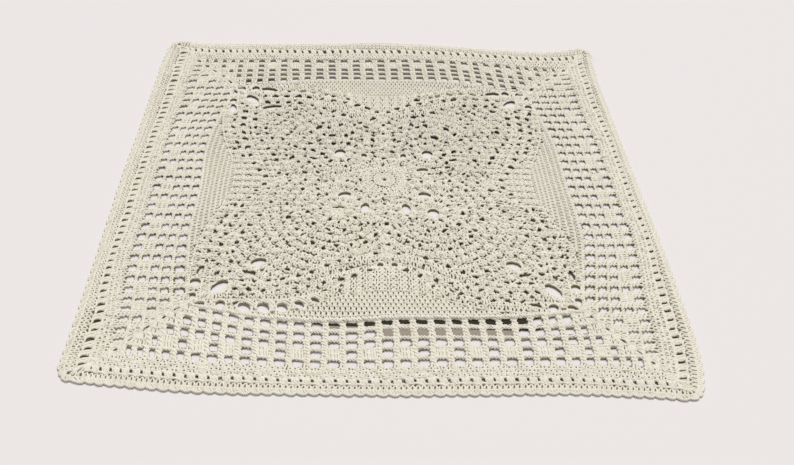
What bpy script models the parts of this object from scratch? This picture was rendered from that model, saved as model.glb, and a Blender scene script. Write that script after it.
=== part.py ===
"""Square crochet floor throw in thick cream cord, one piece, lying flat.

A medallion of four lobes is worked outwards from the centre, a plain band and a filet mesh
surround it, and a solid border ends in a low rim. Units are metres, the floor is z = 0.
"""
import math
from collections import namedtuple

import bmesh
import bpy

SIDE_COLUMNS = 14
HALF_COLUMNS = SIDE_COLUMNS // 2
COLUMNS = 4 * SIDE_COLUMNS
ROSETTE_COLUMNS = 14
MESH_BAR = 0.012
PETAL_BAR = 0.009
CORNER_RADIUS = 0.036
BOW = 2.4
CREST_SPREAD = 0.7
RIB_RISE = 0.0025
RIB_CUTS = 3
CORNER_LIFT = 0.009
LIFT_START = 0.86
SAME_PLACE = 1e-5

# Straight lines of the frame, from the medallion's edge outwards: distance from the centre at
# the middle of a side and at its end, height of the top, and whether the row outside it is open.
Line = namedtuple("Line", "middle corner height open_row")
LINES = [
    Line(0.497, 0.465, 0.0080, True),
    Line(0.542, 0.518, 0.0070, True),
    Line(0.587, 0.571, 0.0070, True),
    Line(0.631, 0.626, 0.0080, False),
    Line(0.662, 0.660, 0.0095, False),
    Line(0.692, 0.692, 0.0090, False),
    Line(0.708, 0.708, 0.0050, False),
]
HALF_SIDE = LINES[-1].corner

# Rounds of the medallion from the rosette outwards: distance on the axes and on the diagonals,
# how square the round is, height of the top on the axes and on the diagonals, and the gaps of
# the row outside it from an axis to a diagonal (o is open, neighbours that are open are one).
Round = namedtuple("Round", "axis diagonal square valley crest gaps")
ROUNDS = [
    Round(0.085, 0.085, 0.00, 0.0090, 0.0095, "......."),
    Round(0.106, 0.104, 0.00, 0.0085, 0.0090, "...oo.."),
    Round(0.134, 0.150, 0.00, 0.0085, 0.0100, "......o"),
    Round(0.156, 0.200, 0.00, 0.0080, 0.0100, "..o.o.."),
    Round(0.182, 0.260, 0.00, 0.0080, 0.0110, ".o..o.o"),
    Round(0.214, 0.322, 0.00, 0.0080, 0.0120, "......."),
    Round(0.262, 0.405, 0.10, 0.0085, 0.0120, "......o"),
    Round(0.306, 0.468, 0.30, 0.0090, 0.0110, "..o.o.."),
    Round(0.344, 0.520, 0.45, 0.0090, 0.0100, "...o.o."),
    Round(0.386, 0.566, 0.65, 0.0090, 0.0090, "....o.o"),
    Round(0.428, 0.618, 0.85, 0.0090, 0.0085, "......."),
]
RIB_FIRST = 8
RIB_LAST = 10
RIB_REACH = 2

# Rings of the rosette: radius and height of the top.
Ring = namedtuple("Ring", "radius height")
RINGS = [
    Ring(0.006, 0.0085),
    Ring(0.024, 0.0120),
    Ring(0.048, 0.0115),
]

# How far each side strays outwards from a true square, read from left to right or from front
# to back: the place along the side as a fraction of it, and the strays of the four sides.
Stray = namedtuple("Stray", "place front back left right")
STRAYS = [
    Stray(0.00, -0.008, -0.021, -0.010, -0.004),
    Stray(0.08, 0.001, -0.036, -0.008, 0.018),
    Stray(0.22, 0.014, -0.026, -0.003, 0.021),
    Stray(0.36, 0.014, -0.011, 0.004, 0.017),
    Stray(0.50, 0.012, 0.009, 0.011, 0.010),
    Stray(0.64, 0.006, 0.004, 0.013, 0.003),
    Stray(0.78, -0.002, -0.010, 0.018, -0.003),
    Stray(0.92, 0.001, -0.011, 0.021, -0.007),
    Stray(1.00, 0.010, 0.014, 0.016, -0.001),
]


def clear_scene():
    for item in list(bpy.data.objects):
        bpy.data.objects.remove(item, do_unlink=True)


def cord_material():
    material = bpy.data.materials.new("cream_cord")
    material.use_nodes = True
    shader = material.node_tree.nodes["Principled BSDF"]
    shader.inputs["Base Color"].default_value = (0.74, 0.70, 0.58, 1.0)
    shader.inputs["Roughness"].default_value = 0.9
    shader.inputs["Metallic"].default_value = 0.0
    return material


def line_reach(line, across):
    """Distance of a frame line from the centre, at a given place along its side."""
    share = min(1.0, abs(across) / line.corner)
    return line.middle + (line.corner - line.middle) * share**BOW


def column_place(index):
    """Where a column of the frame crosses: even steps, then the lines of the next side."""
    if abs(index) <= HALF_COLUMNS:
        return index * LINES[0].corner / HALF_COLUMNS
    return math.copysign(LINES[abs(index) - HALF_COLUMNS].corner, index)


def frame_point(column, row):
    line = LINES[max(abs(column), abs(row)) - HALF_COLUMNS]
    if abs(column) <= abs(row):
        across = column_place(column)
        return across, math.copysign(line_reach(line, across), row), line.height
    across = column_place(row)
    return math.copysign(line_reach(line, across), column), across, line.height


def lobe_reach(item, turn):
    """Radius of a round at a turn from the diagonal, where its quarter's arc has its centre."""
    centre = (item.diagonal**2 - item.axis**2) / (2.0 * item.diagonal - math.sqrt(2.0) * item.axis)
    radius = item.diagonal - centre
    return centre * math.cos(turn) + math.sqrt(radius**2 - (centre * math.sin(turn)) ** 2)


def round_point(item, column):
    """Point of a round, with columns counted from the middle of the right-hand side."""
    side = round(column / SIDE_COLUMNS)
    lean = (column - side * SIDE_COLUMNS) / HALF_COLUMNS
    ahead = math.radians(90.0) * side
    angle = ahead + math.radians(45.0) * lean
    reach = lobe_reach(item, math.radians(45.0) * (1.0 - abs(lean)))
    corner = item.diagonal / math.sqrt(2.0)
    out = item.axis + (corner - item.axis) * abs(lean) ** BOW
    square_x = out * math.cos(ahead) - corner * lean * math.sin(ahead)
    square_y = out * math.sin(ahead) + corner * lean * math.cos(ahead)
    x = (1.0 - item.square) * reach * math.cos(angle) + item.square * square_x
    y = (1.0 - item.square) * reach * math.sin(angle) + item.square * square_y
    return x, y, item.valley + (item.crest - item.valley) * abs(lean) ** CREST_SPREAD


def medallion_point(column, row):
    if row < len(ROUNDS):
        x, y, height = round_point(ROUNDS[row], column)
        return x, y, height + RIB_RISE * math.sin(2.0 * math.pi * column) ** 2
    side = round(column / SIDE_COLUMNS)
    lean = round(column - side * SIDE_COLUMNS)
    half = HALF_COLUMNS
    places = ((half, lean), (-lean, half), (-half, -lean), (lean, -half))
    return frame_point(*places[side % 4])


def rosette_point(column, row):
    angle = 2.0 * math.pi * column / ROSETTE_COLUMNS
    ring = RINGS[row]
    return ring.radius * math.cos(angle), ring.radius * math.sin(angle), ring.height


def gap_number(column, row):
    """Number of the gap that a cell of the medallion belongs to, or 0 on solid cloth."""
    if row >= len(ROUNDS):
        return 0
    half = ROUNDS[row].gaps
    chart = (half + half[::-1]) * 4
    if chart[column] != "o":
        return 0
    while chart[column - 1] == "o":
        column -= 1
    return 1 + row * COLUMNS + column % COLUMNS


def add_frame(bm):
    """Filet and border: a square grid, less its middle, with a gap in each cell of an open row."""
    placed = bm.verts.layers.int.new("placed")
    gaps = bm.faces.layers.int.new("gaps")
    reach = HALF_COLUMNS + len(LINES) - 1
    grid = bmesh.ops.create_grid(bm, x_segments=2 * reach, y_segments=2 * reach, size=reach)["verts"]
    inner = [vert for vert in grid if max(abs(vert.co.x), abs(vert.co.y)) < HALF_COLUMNS - 0.5]
    bmesh.ops.delete(bm, geom=inner, context="VERTS")
    for face in bm.faces:
        middle = face.calc_center_median()
        ring = int(max(abs(middle.x), abs(middle.y))) - HALF_COLUMNS
        on_mitre = abs(abs(middle.x) - abs(middle.y)) < 0.5
        face[gaps] = -1 if LINES[ring].open_row and not on_mitre else 0
    for vert in bm.verts:
        vert.co = frame_point(round(vert.co.x), round(vert.co.y))
        vert[placed] = 1


def add_wrapped_grid(bm, columns, rows, point):
    """A grid of columns and rows that is wrapped to a ring."""
    placed = bm.verts.layers.int["placed"]
    grid = bmesh.ops.create_grid(bm, x_segments=columns, y_segments=rows, size=1.0)["verts"]
    for vert in grid:
        vert.co.x = round((vert.co.x + 1.0) / 2.0 * columns)
        vert.co.y = round((vert.co.y + 1.0) / 2.0 * rows)
    if columns == COLUMNS:
        number_gaps(bm, grid)
        split_ribs(bm, grid)
    for vert in bm.verts:
        if not vert[placed]:
            vert.co = point(vert.co.x, round(vert.co.y))
            vert[placed] = 1


def number_gaps(bm, grid):
    gaps = bm.faces.layers.int["gaps"]
    for face in {face for vert in grid for face in vert.link_faces}:
        middle = face.calc_center_median()
        face[gaps] = gap_number(int(middle.x), int(middle.y))


def split_ribs(bm, grid):
    """Cuts the cells where ribs of post stitches stand, beside the axes, into narrow strips."""
    edges = set()
    for edge in {edge for vert in grid for edge in vert.link_edges}:
        low, high = sorted(vert.co.x for vert in edge.verts)
        row = round(edge.verts[0].co.y)
        from_axis = (low + HALF_COLUMNS) % SIDE_COLUMNS - HALF_COLUMNS
        beside_axis = -RIB_REACH <= from_axis < RIB_REACH
        if high > low + 0.5 and RIB_FIRST <= row <= RIB_LAST and beside_axis:
            edges.add(edge)
    bmesh.ops.subdivide_edges(bm, edges=list(edges), cuts=RIB_CUTS, use_grid_fill=True)


def open_edges(bm, radius):
    """Open edges on the circle of this radius about the centre."""
    return [
        edge
        for edge in bm.edges
        if edge.is_boundary and all(abs(vert.co.xy.length - radius) < SAME_PLACE for vert in edge.verts)
    ]


def cut_gaps(bm):
    """Joins the cells of each wide gap, insets every gap by half a bar and takes it out."""
    gaps = bm.faces.layers.int["gaps"]
    runs = {}
    for face in bm.faces:
        if face[gaps] > 0:
            runs.setdefault(face[gaps], []).append(face)
    for run in runs.values():
        if len(run) > 1:
            bmesh.ops.dissolve_faces(bm, faces=run, use_verts=False)
    for sign, bar in ((-1, MESH_BAR), (1, PETAL_BAR)):
        cells = [face for face in bm.faces if face[gaps] * sign > 0]
        bmesh.ops.inset_individual(bm, faces=cells, thickness=bar / 2.0, use_even_offset=True)
        bmesh.ops.delete(bm, geom=cells, context="FACES")


def stray_at(side, place):
    """Smooth reading of one side's column in the table of strays."""
    step = max(index for index, row in enumerate(STRAYS[:-1]) if place >= row.place or index == 0)
    start, end = STRAYS[step], STRAYS[step + 1]
    before, after = STRAYS[max(step - 1, 0)], STRAYS[min(step + 2, len(STRAYS) - 1)]
    width = end.place - start.place
    share = min(1.0, max(0.0, (place - start.place) / width))
    low, high = getattr(start, side), getattr(end, side)
    slope_in = (high - getattr(before, side)) / (end.place - before.place) * width
    slope_out = (getattr(after, side) - low) / (after.place - start.place) * width
    square, cube = share**2, share**3
    return (
        low * (2.0 * cube - 3.0 * square + 1.0)
        + slope_in * (cube - 2.0 * square + share)
        + high * (3.0 * square - 2.0 * cube)
        + slope_out * (cube - square)
    )


def lay_uneven(point):
    """Rounds the corners and moves a point as far as the sides beside it stray from a square."""
    x, y, z = point
    flat = HALF_SIDE - CORNER_RADIUS
    past_x, past_y = abs(x) - flat, abs(y) - flat
    if past_x > 0.0 and past_y > 0.0:
        scale = max(past_x, past_y) / math.hypot(past_x, past_y)
        x = math.copysign(flat + past_x * scale, x)
        y = math.copysign(flat + past_y * scale, y)
    along_x = (x + HALF_SIDE) / (2.0 * HALF_SIDE)
    along_y = (y + HALF_SIDE) / (2.0 * HALF_SIDE)
    left, right = stray_at("left", along_y), stray_at("right", along_y)
    front, back = stray_at("front", along_x), stray_at("back", along_x)
    return (
        x + right * along_x - left * (1.0 - along_x),
        y + back * along_y - front * (1.0 - along_y),
        z,
    )


def corner_lift(point):
    """The corner at the back right stands a little off the floor."""
    share = (point.x + point.y) / (2.0 * HALF_SIDE)
    rise = min(1.0, max(0.0, (share - LIFT_START) / (1.0 - LIFT_START)))
    return CORNER_LIFT * rise**2 * (3.0 - 2.0 * rise)


def centre_on_origin(bm):
    """Puts the middle of the bounding box over the origin."""
    low_x, high_x = min(vert.co.x for vert in bm.verts), max(vert.co.x for vert in bm.verts)
    low_y, high_y = min(vert.co.y for vert in bm.verts), max(vert.co.y for vert in bm.verts)
    middle = (-(low_x + high_x) / 2.0, -(low_y + high_y) / 2.0, 0.0)
    bmesh.ops.translate(bm, verts=bm.verts, vec=middle)


def thicken_to_floor(bm):
    """Closes the cloth with a flat underside and walls round the rim and every gap."""
    made = bmesh.ops.extrude_face_region(bm, geom=bm.faces[:], use_keep_orig=True)
    for vert in [item for item in made["geom"] if isinstance(item, bmesh.types.BMVert)]:
        vert.co.z = 0.0
    bmesh.ops.recalc_face_normals(bm, faces=bm.faces[:])
    for vert in bm.verts:
        vert.co.z += corner_lift(vert.co)


def crochet_mesh():
    bm = bmesh.new()
    add_frame(bm)
    add_wrapped_grid(bm, COLUMNS, len(ROUNDS), medallion_point)
    add_wrapped_grid(bm, ROSETTE_COLUMNS, len(RINGS) - 1, rosette_point)
    bmesh.ops.remove_doubles(bm, verts=bm.verts[:], dist=SAME_PLACE)
    seam = open_edges(bm, RINGS[-1].radius) + open_edges(bm, ROUNDS[0].axis)
    bmesh.ops.bridge_loops(bm, edges=seam)
    cut_gaps(bm)
    for vert in bm.verts:
        vert.co = lay_uneven(vert.co)
    centre_on_origin(bm)
    thicken_to_floor(bm)
    mesh = bpy.data.meshes.new("crochet_cloth")
    bm.to_mesh(mesh)
    bm.free()
    return mesh


def main():
    clear_scene()
    collection = bpy.data.collections.new("crochet_floor_throw")
    bpy.context.scene.collection.children.link(collection)
    cloth = bpy.data.objects.new("crochet_cloth", crochet_mesh())
    cloth.data.materials.append(cord_material())
    collection.objects.link(cloth)


main()
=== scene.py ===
import math
import random

import bpy
import numpy as np
from mathutils import Matrix, Vector, noise


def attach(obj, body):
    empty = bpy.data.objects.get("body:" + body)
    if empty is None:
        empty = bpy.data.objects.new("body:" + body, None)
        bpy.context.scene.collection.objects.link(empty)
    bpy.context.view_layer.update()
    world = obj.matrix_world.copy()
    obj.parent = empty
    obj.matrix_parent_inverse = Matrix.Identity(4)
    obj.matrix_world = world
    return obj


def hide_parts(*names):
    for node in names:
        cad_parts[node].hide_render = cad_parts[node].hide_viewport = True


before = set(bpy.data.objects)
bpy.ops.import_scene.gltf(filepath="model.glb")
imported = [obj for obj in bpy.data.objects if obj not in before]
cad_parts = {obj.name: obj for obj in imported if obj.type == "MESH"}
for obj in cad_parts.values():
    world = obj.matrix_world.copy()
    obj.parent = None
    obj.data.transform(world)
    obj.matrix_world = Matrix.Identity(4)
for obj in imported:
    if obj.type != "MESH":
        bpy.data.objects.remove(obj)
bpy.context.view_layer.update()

# Square crochet throw in cream cotton cord, lying flat on a floor. Every stitch is a few swept
# strands of cord, placed on a chart in a true square and then laid as unevenly as the real cloth.
# Metres; on the chart the centre is 0, 0 and the front edge is at -y.

rng = random.Random(20)

# The lay of the cloth, as in the CAD
cloth = {
    "halfSide": 0.708,
    "cornerRadius": 0.036,
    "bow": 2.4,  # how late a line turns in to its corner
    "cornerLift": 0.009,  # the back right corner stands off the floor
    "liftStart": 0.86,
    "cordRadius": 0.0030,
    "chainRadius": 0.0026,  # the chains of the mesh are drawn thinner
    "stitch": 0.0125,  # width of one stitch
    "scallop": 0.002,  # how far the scallops of a flat cloth reach past half a side
    "laySteps": 400,  # along a side
}

# Place along a side, then how far the front, back, left and right sides stray outwards there
strays = [
    (0.00, -0.008, -0.021, -0.010, -0.004),
    (0.08, 0.001, -0.036, -0.008, 0.018),
    (0.22, 0.014, -0.026, -0.003, 0.021),
    (0.36, 0.014, -0.011, 0.004, 0.017),
    (0.50, 0.012, 0.009, 0.011, 0.010),
    (0.64, 0.006, 0.004, 0.013, 0.003),
    (0.78, -0.002, -0.010, 0.018, -0.003),
    (0.92, 0.001, -0.011, 0.021, -0.007),
    (1.00, 0.010, 0.014, 0.016, -0.001),
]


def strayAt(side, place):
    step = max(index for index, row in enumerate(strays[:-1]) if place >= row[0] or index == 0)
    start, end = strays[step], strays[step + 1]
    before, after = strays[max(step - 1, 0)], strays[min(step + 2, len(strays) - 1)]
    width = end[0] - start[0]
    share = min(1.0, max(0.0, (place - start[0]) / width))
    slopeIn = (end[side] - before[side]) / (end[0] - before[0]) * width
    slopeOut = (after[side] - start[side]) / (after[0] - start[0]) * width
    square, cube = share**2, share**3
    return (
        start[side] * (2 * cube - 3 * square + 1)
        + slopeIn * (cube - 2 * square + share)
        + end[side] * (3 * square - 2 * cube)
        + slopeOut * (cube - square)
    )


strayPlaces = np.linspace(0.0, 1.0, cloth["laySteps"] + 1)
strayTable = np.array([
    [strayAt(side, step / cloth["laySteps"]) for step in range(cloth["laySteps"] + 1)]
    for side in (1, 2, 3, 4)
])


def layUneven(x, y):
    half = cloth["halfSide"]
    flat = half - cloth["cornerRadius"]
    pastX, pastY = abs(x) - flat, abs(y) - flat
    if pastX > 0 and pastY > 0:
        scale = max(pastX, pastY) / math.hypot(pastX, pastY)
        x = math.copysign(flat + pastX * scale, x)
        y = math.copysign(flat + pastY * scale, y)
    alongX, alongY = (x + half) / (2 * half), (y + half) / (2 * half)
    front, back = (np.interp(alongX, strayPlaces, strayTable[row]) for row in (0, 1))
    left, right = (np.interp(alongY, strayPlaces, strayTable[row]) for row in (2, 3))
    return (
        float(x + right * alongX - left * (1 - alongX)),
        float(y + back * alongY - front * (1 - alongY)),
    )


def findShift():
    half = cloth["halfSide"]
    rim = []
    for step in range(cloth["laySteps"] + 1):
        across = half * (2 * step / cloth["laySteps"] - 1)
        for point in ((across, half), (across, -half), (half, across), (-half, across)):
            rim.append(layUneven(*point))
    return [-(min(axis) + max(axis)) / 2 for axis in zip(*rim)]


shiftX, shiftY = findShift()

# How far the rows of each side lie outwards of their lines, in millimetres, every 0.1 m along the
# side: the first row of the mesh, its last row, and the row of eyelets. Read off the photograph.
settling = {
    "reach": (0.455, 0.510, 0.618, 0.676, 0.700),
    "from": -0.5,
    "to": 0.5,
    "sides": [
        [[-4, 3, 20, 22, 19, 3, 2, 5, 11, 14, 12],
         [7, 7, 8, 14, 14, 12, 8, 7, 8, 8, 7],
         [-3, -1, -1, 3, 3, 3, -1, -3, -2, -1, 0]],
        [[-8, -2, 12, 24, 18, 10, 13, 17, 9, -6, -5],
         [-11, -10, 6, 12, 8, 8, 7, 5, -1, -9, -6],
         [-14, -13, -6, 7, 0, 0, 1, 4, -1, -8, -9]],
        [[-12, -14, 2, 0, -14, -24, -18, -9, -13, -11, -10],
         [-23, -18, -14, -17, -23, -31, -29, -28, -20, -22, -20],
         [-20, -16, -20, -24, -28, -35, -31, -32, -23, -23, -21]],
        [[-12, -10, 6, 14, 9, -4, -2, 7, 9, 8, 0],
         [-18, -20, -13, -7, -6, -9, -8, -8, 2, -2, -11],
         [-28, -26, -23, -16, -16, -14, -13, -12, -5, -6, -20]],
    ],
    # the rows are smoothed over this many of the finer steps
    "window": 13,
    "fineHalf": 0.72,
    "fineSteps": 144,
    # how far the medallion has slid along y, in millimetres, from the front to the back
    "driftAt": (-0.455, -0.130, 0.0, 0.130, 0.455),
    "drift": (-6, -8, -13, -20, -22),
}
settlePlaces = np.linspace(-settling["fineHalf"], settling["fineHalf"], settling["fineSteps"] + 1)


def smoothed(amounts):
    window = np.hanning(settling["window"] + 2)[1:-1]
    places = np.linspace(settling["from"], settling["to"], len(amounts))
    fine = np.interp(settlePlaces, places, amounts) / 1000
    padded = np.pad(fine, settling["window"] // 2, mode="edge")
    return np.convolve(padded, window / window.sum(), mode="valid")


settleTable = [[smoothed(amounts) for amounts in rows] for rows in settling["sides"]]


def settleOut(side, across, out, start=0.0):
    if out <= settling["reach"][0] or out >= settling["reach"][-1]:
        return out
    amounts = [float(np.interp(across, settlePlaces, row)) for row in settleTable[side]]
    return out + float(np.interp(out, settling["reach"], [start, *amounts, 0.0]))


def settle(x, y):
    drift = float(np.interp(y, settling["driftAt"], settling["drift"])) / 1000
    movedX = settleOut(1, y, x) if x > 0 else -settleOut(3, -y, -x)
    movedY = settleOut(2, -x, y, drift) if y > 0 else -settleOut(0, x, -y, -drift)
    if abs(y) <= settling["reach"][0]:
        movedY += drift
    return movedX, movedY


def layPoint(x, y):
    laidX, laidY = layUneven(*settle(x, y))
    return laidX + shiftX, laidY + shiftY


def cornerLift(x, y):
    share = (x + y) / (2 * cloth["halfSide"])
    rise = min(1.0, max(0.0, (share - cloth["liftStart"]) / (1 - cloth["liftStart"])))
    return cloth["cornerLift"] * rise**2 * (3 - 2 * rise)


# Height of the cloth's top over the floor
relief = {
    "plain": 0.0096,
    "mesh": (0.0078, 0.0080, 0.0088, 0.0080),  # front, right, back, left
    "meshFrom": 0.497,
    "meshTo": 0.628,
    "rosette": 0.0030,
    "rosetteWidth": 0.055,
    "lobe": 0.0030,
    "lobeAt": 0.180,
    "lobeWidth": 0.095,
    "unevenness": 0.0012,
    "unevenSize": 0.11,
    "edgeFrom": 0.684,  # the cloth thins out to its edge from here
    "edge": 0.0058,
    "cluster": 0.0058,  # height of the medallion's clusters over the furrows between them
    "clusterFrom": 0.07,
    "clusterPower": 0.7,  # under 1, so that the clusters are blunt
    "furrow": 0.0020,
    "lump": 0.0016,
    "lumpSize": 0.018,
    "dip": 0.0046,  # the cloth thins out towards its larger gaps
    "dipWidth": 0.013,
    "dipFrom": 0.03,
    "thinnest": 0.0070,
}

# At the front the band bulges a little over the first row of the mesh
bulge = {
    "from": -0.17,
    "to": 0.37,
    "fade": 0.06,
    "beyond": 0.45,
    "out": 0.494,
    "width": 0.012,
    "height": 0.0010,
}


def bulgeRise(x, y):
    if -y < bulge["beyond"]:
        return 0.0
    inside = min(x - bulge["from"], bulge["to"] - x) / bulge["fade"]
    share = min(1.0, max(0.0, inside + 0.5))
    return bulge["height"] * share * math.exp(-(((-y - bulge["out"]) / bulge["width"]) ** 2))


# Round each flower the medallion's clusters lie in rings, and beyond them in three rows of shells
flower = {
    "at": (0.125, 0.127),
    "eye": 0.017,
    "ring": 0.0268,
    "rings": 13,
    "clusterWidth": 0.0255,
    "shellRows": 3,
}


def ringCount(ring):
    return round(2 * math.pi * (flower["eye"] + flower["ring"] * (ring + 0.5)) / flower["clusterWidth"])


# How far up its cluster a chart point is, from 0 in the furrows to 1 on the top
def clusterRise(x, y):
    x, y = abs(x), abs(y)
    big, small = max(x, y), min(x, y)
    inner = lineReach("inner", small)
    if big > inner:
        share = (big - inner) / (lineReach("edge", small) - inner)
        rows = math.sin(flower["shellRows"] * math.pi * share)
        return abs(rows * math.cos(math.pi * small / flower["clusterWidth"]))
    offX, offY = x - flower["at"][0], y - flower["at"][1]
    place = (math.hypot(offX, offY) - flower["eye"]) / flower["ring"]
    if place < 0:
        return 0.0
    turn = ringCount(int(place)) * math.atan2(offY, offX) / 2
    return abs(math.sin(math.pi * place) * math.cos(turn))


def sideOf(x, y):
    if abs(x) > abs(y):
        return 1 if x > 0 else 3
    return 2 if y > 0 else 0


def gapDip(x, y):
    cos, sin = np.cos(openGaps[:, 4]), np.sin(openGaps[:, 4])
    offX, offY = x - openGaps[:, 0], y - openGaps[:, 1]
    u, v = offX * cos + offY * sin, offY * cos - offX * sin
    past = np.hypot(u / openGaps[:, 2], v / openGaps[:, 3])
    beyond = np.hypot(u, v) * (1 - 1 / np.maximum(past, 1.0))
    return relief["dip"] * math.exp(-((float(beyond.min()) / relief["dipWidth"]) ** 2))


def clothTop(x, y):
    out = max(abs(x), abs(y))
    top = relief["plain"]
    if relief["meshFrom"] < out < relief["meshTo"]:
        top = relief["mesh"][sideOf(x, y)]
    toEdge = min(1.0, max(0.0, (out - relief["edgeFrom"]) / (cloth["halfSide"] - relief["edgeFrom"])))
    top -= (relief["plain"] - relief["edge"]) * toEdge
    top += bulgeRise(x, y)
    top += relief["rosette"] * math.exp(-((math.hypot(x, y) / relief["rosetteWidth"]) ** 2))
    fromLobe = math.hypot(abs(x) - relief["lobeAt"], abs(y) - relief["lobeAt"])
    top += relief["lobe"] * math.exp(-((fromLobe / relief["lobeWidth"]) ** 2))
    if relief["clusterFrom"] < out < lineReach("edge", min(abs(x), abs(y))) and not inRibs(x, y):
        top += relief["cluster"] * clusterRise(x, y) ** relief["clusterPower"] - relief["furrow"]
        top += relief["lump"] * noise.noise(Vector((x, y, 3.0)) / relief["lumpSize"])
    if relief["dipFrom"] < out < relief["meshFrom"]:
        top = max(relief["thinnest"], top - gapDip(x, y))
    spot = Vector((x, y, 0.0)) / relief["unevenSize"]
    return top + relief["unevenness"] * noise.noise(spot)


# Lines of the chart: distance from the centre at the middle of a side and at its corner
frameLines = {
    "mesh0": (0.4970, 0.465),
    "mesh1": (0.5238, 0.497),
    "mesh2": (0.5506, 0.529),
    "mesh3": (0.5774, 0.561),
    "mesh4": (0.6042, 0.593),
    "mesh5": (0.6310, 0.626),
    "border1": (0.6425, 0.639),
    "border2": (0.6540, 0.652),
    "border3": (0.6655, 0.665),
    "eyelets": (0.6860, 0.686),
    "rim": (0.6995, 0.6995),
    "picots": (0.7120, 0.7120),
}

# Lines of the medallion: distance from the centre at these places along a side. They were read off
# the photograph.
linePlaces = [0.0, 0.05, 0.10, 0.16, 0.20, 0.25, 0.30, 0.35, 0.40, 0.48]
medallionLines = {
    "inner": [0.288, 0.290, 0.303, 0.335, 0.360, 0.375, 0.383, 0.382, 0.380, 0.380],
    "middle": [0.322, 0.347, 0.372, 0.390, 0.401, 0.413, 0.414, 0.412, 0.408, 0.408],
    "outer": [0.352, 0.375, 0.392, 0.415, 0.430, 0.441, 0.441, 0.442, 0.444, 0.444],
    "edge": [0.408, 0.408, 0.424, 0.447, 0.460, 0.470, 0.474, 0.475, 0.474, 0.472],
}
medallionCorners = {"inner": 0.376, "middle": 0.408, "outer": 0.444, "edge": 0.474}


# Distance of a line from the centre, at a place along its side
def lineReach(name, across):
    across = abs(across)
    if name in medallionLines:
        return float(np.interp(across, linePlaces, medallionLines[name]))
    middle, corner = frameLines[name]
    return middle + (corner - middle) * min(1.0, across / corner) ** cloth["bow"]


def lineCorner(name):
    if name in medallionCorners:
        return medallionCorners[name]
    return frameLines[name][1]


# Chart point of one of the four sides, counted from the front
def sidePoint(side, across, out):
    return [(across, -out), (out, across), (-across, out), (-out, -across)][side]


def linePoint(side, name, across, inwards=0.0):
    limit = lineCorner(name) - inwards
    across = min(limit, max(-limit, across))
    return sidePoint(side, across, lineReach(name, across) - inwards)


# How many stitches fit from the middle of a line to its corner, and the pitch that fills it
def fittedPitch(name, pitch):
    count = int(lineCorner(name) / pitch)
    return count, lineCorner(name) / (count + 0.5)


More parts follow.
